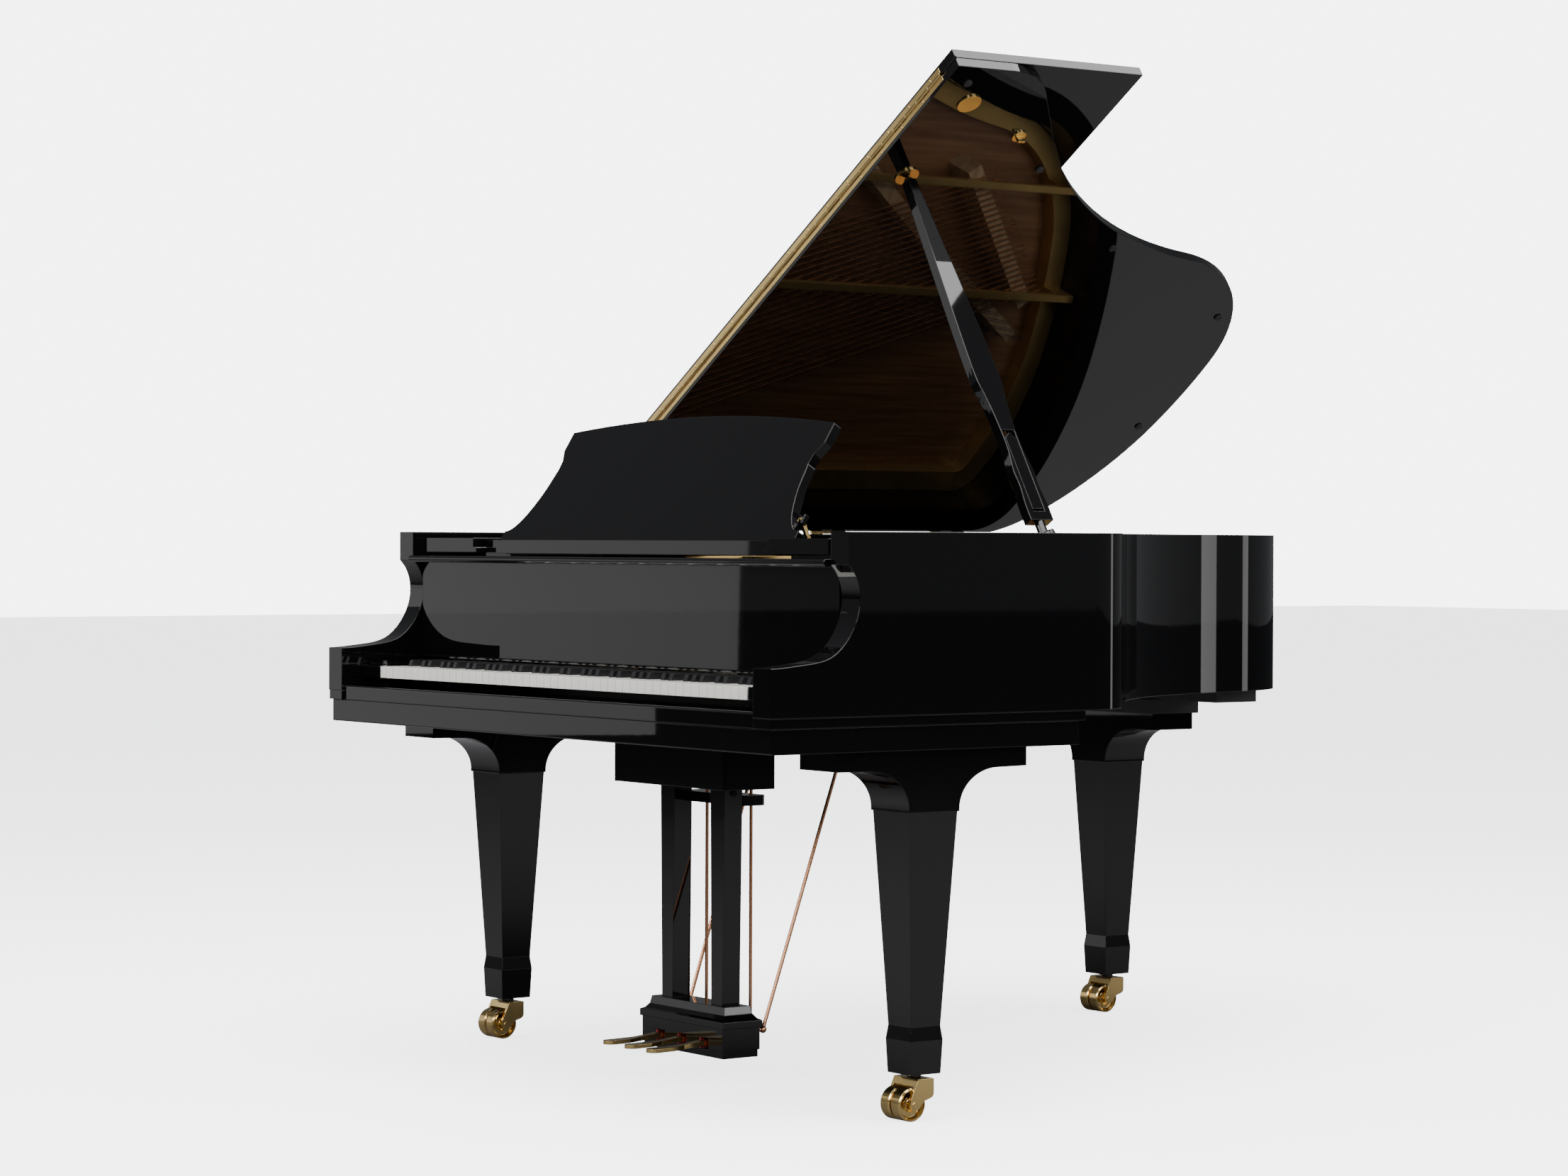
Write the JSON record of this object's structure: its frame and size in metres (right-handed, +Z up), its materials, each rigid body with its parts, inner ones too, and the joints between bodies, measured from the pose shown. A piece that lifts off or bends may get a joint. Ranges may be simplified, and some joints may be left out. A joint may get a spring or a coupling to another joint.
{
  "type": "grand piano",
  "caption": "Black lacquered grand piano, lid raised on its long prop with the front flap folded back, fallboard open and music desk up, on tapered legs with brass casters and a pedal lyre.",
  "frame": {"origin": "on the floor, on the centre line of the keyboard, midway between the front of the arms and the tail of the lid", "axes": "+X towards the treble side (the player's right), +Y from the keyboard towards the tail, +Z up"},
  "size_m": [1.4972, 1.8, 1.8469],
  "materials": {
    "lacquer": "high-gloss black polyester lacquer over a wood core",
    "satin_black": "satin black paint on the underside timber",
    "beech": "bare laminated beech",
    "spruce": "varnished spruce",
    "maple": "maple",
    "gold_iron": "bronze-gold lacquered cast iron",
    "brass": "polished brass",
    "copper": "copper-coloured polished rod and winding",
    "steel": "bright steel",
    "ivory": "glossy white key covering",
    "ebony": "satin black",
    "red_felt": "red wool felt",
    "action_wood": "hornbeam and felt",
    "black_rubber": "soft black rubber"
  },
  "bodies": {
    "case": {"outer_rim": "lacquer", "side_strips": "lacquer", "keybed": "lacquer", "inner_rim": "beech", "bottom_beams": "satin_black", "keyslip": "lacquer", "key_blocks": "lacquer", "stretcher": "lacquer", "key_frame": "maple", "hammer_action": "action_wood", "damper_heads": "lacquer", "soundboard": "spruce", "soundboard_ribs": "spruce", "bridges": "maple", "pinblock": "beech", "iron_plate": "gold_iron", "tuning_pins": "steel", "treble_strings": "steel", "bass_strings": "copper", "shelf_blocks": "lacquer", "leg_front_left": "lacquer", "leg_front_right": "lacquer", "leg_rear": "lacquer", "lyre_top_block": "lacquer", "lyre_posts": "lacquer", "lyre_moulding": "lacquer", "lyre_braces": "copper", "pedal_box": "lacquer", "slot_felts": "red_felt", "spine_hinge_case": "brass", "prop_block": "lacquer"},
    "lid": {"lid_main": "lacquer", "hinge_leaf_main": "brass", "lid_fittings": "brass", "lid_bumpers": "black_rubber"},
    "flap": {"lid_flap": "lacquer", "hinge_leaf_flap": "brass"},
    "prop": {"lid_prop": "lacquer"},
    "short_prop": {"short_prop": "lacquer"},
    "fallboard": {"fallboard": "lacquer"},
    "desk_tray": {"desk_tray": "lacquer"},
    "music_desk": {"music_desk": "lacquer"},
    "desk_stays": {"desk_stays": "brass"},
    "white_keys_odd": {"white_keys_odd": "ivory"},
    "white_keys_even": {"white_keys_even": "ivory"},
    "black_keys": {"black_keys": "ebony"},
    "pedal_left": {"pedal_left": "brass"},
    "pedal_middle": {"pedal_middle": "brass"},
    "pedal_right": {"pedal_right": "brass"},
    "rod_left": {"rod_left": "copper"},
    "rod_middle": {"rod_middle": "copper"},
    "rod_right": {"rod_right": "copper"},
    "horn_left": {"caster_horn_left": "brass"},
    "wheel_left": {"caster_wheel_left": "brass"},
    "horn_right": {"caster_horn_right": "brass"},
    "wheel_right": {"caster_wheel_right": "brass"},
    "horn_rear": {"caster_horn_rear": "brass"},
    "wheel_rear": {"caster_wheel_rear": "brass"}
  },
  "joints": [
    {"name": "lid_hinge", "type": "hinge", "parent": "case", "child": "lid", "pos_m": [-0.7425, 0, 1], "axis": [0, -1, 0], "range_deg": [0, 25]},
    {"name": "flap_hinge", "type": "hinge", "parent": "lid", "child": "flap", "pos_m": [-0.13088, -0.3372, 1.4214], "axis": [0.8375, 0, 0.5464], "range_deg": [0, 180]},
    {"name": "prop_fold", "type": "hinge", "parent": "case", "child": "prop", "pos_m": [0.66, -0.26, 0.985], "axis": [-0.6969, -0.5772, -0.4257], "range_deg": [0, 66]},
    {"name": "short_prop_swing", "type": "hinge", "parent": "prop", "child": "short_prop", "pos_m": [0.62629, -0.25942, 1.0394], "axis": [0, 1, 0], "range_deg": [0, 90]},
    {"name": "fallboard_hinge", "type": "hinge", "parent": "case", "child": "fallboard", "pos_m": [0, -0.715, 0.763], "axis": [1, 0, 0], "range_deg": [0, 90]},
    {"name": "tray_slide", "type": "slide", "parent": "case", "child": "desk_tray", "axis": [0, -1, 0], "range_m": [0, 0.12]},
    {"name": "desk_fold", "type": "hinge", "parent": "desk_tray", "child": "music_desk", "pos_m": [0, -0.66003, 0.98001], "axis": [-1, 0, 0], "range_deg": [0, 57.5]},
    {"name": "stay_fold", "type": "hinge", "parent": "music_desk", "child": "desk_stays", "pos_m": [0, -0.6206, 1.0167], "axis": [-1, 0, 0], "range_deg": [0, 54.9]},
    {"name": "white_keys_odd_press", "type": "hinge", "parent": "case", "child": "white_keys_odd", "pos_m": [0, -0.638, 0.716], "axis": [1, 0, 0], "range_deg": [0, 2.6], "stiffness_Nm_per_rad": 400},
    {"name": "white_keys_even_press", "type": "hinge", "parent": "case", "child": "white_keys_even", "pos_m": [0, -0.638, 0.716], "axis": [1, 0, 0], "range_deg": [0, 2.6], "stiffness_Nm_per_rad": 400},
    {"name": "black_keys_press", "type": "hinge", "parent": "case", "child": "black_keys", "pos_m": [0, -0.638, 0.716], "axis": [1, 0, 0], "range_deg": [0, 2.6], "stiffness_Nm_per_rad": 400},
    {"name": "pedal_left_press", "type": "hinge", "parent": "case", "child": "pedal_left", "pos_m": [-0.071, -0.531, 0.069], "axis": [1, 0, 0], "range_deg": [0, 4.2], "stiffness_Nm_per_rad": 60},
    {"name": "pedal_middle_press", "type": "hinge", "parent": "case", "child": "pedal_middle", "pos_m": [0, -0.531, 0.069], "axis": [1, 0, 0], "range_deg": [0, 4.2], "stiffness_Nm_per_rad": 60},
    {"name": "pedal_right_press", "type": "hinge", "parent": "case", "child": "pedal_right", "pos_m": [0.071, -0.531, 0.069], "axis": [1, 0, 0], "range_deg": [0, 4.2], "stiffness_Nm_per_rad": 60},
    {"name": "rod_left_lift", "type": "slide", "parent": "case", "child": "rod_left", "axis": [0, 0, 1], "range_m": [0, 0.00484]},
    {"name": "rod_middle_lift", "type": "slide", "parent": "case", "child": "rod_middle", "axis": [0, 0, 1], "range_m": [0, 0.00484]},
    {"name": "rod_right_lift", "type": "slide", "parent": "case", "child": "rod_right", "axis": [0, 0, 1], "range_m": [0, 0.00484]},
    {"name": "caster_swivel_left", "type": "hinge", "parent": "case", "child": "horn_left", "pos_m": [-0.658, -0.542, 0.072], "axis": [0, 0, 1], "continuous": true},
    {"name": "wheel_spin_left", "type": "hinge", "parent": "horn_left", "child": "wheel_left", "pos_m": [-0.658, -0.566, 0.0285], "axis": [1, 0, 0], "continuous": true},
    {"name": "caster_swivel_right", "type": "hinge", "parent": "case", "child": "horn_right", "pos_m": [0.658, -0.542, 0.072], "axis": [0, 0, 1], "continuous": true},
    {"name": "wheel_spin_right", "type": "hinge", "parent": "horn_right", "child": "wheel_right", "pos_m": [0.658, -0.566, 0.0285], "axis": [1, 0, 0], "continuous": true},
    {"name": "caster_swivel_rear", "type": "hinge", "parent": "case", "child": "horn_rear", "pos_m": [-0.325, 0.724, 0.072], "axis": [0, 0, 1], "continuous": true},
    {"name": "wheel_spin_rear", "type": "hinge", "parent": "horn_rear", "child": "wheel_rear", "pos_m": [-0.325, 0.7, 0.0285], "axis": [1, 0, 0], "continuous": true}
  ],
  "couplings": [
    {"joint": "stay_fold", "follows": "desk_fold", "ratio": 0.9548},
    {"joint": "rod_left_lift", "follows": "pedal_left_press", "m_per_rad": 0.066},
    {"joint": "rod_middle_lift", "follows": "pedal_middle_press", "m_per_rad": 0.066},
    {"joint": "rod_right_lift", "follows": "pedal_right_press", "m_per_rad": 0.066}
  ]
}
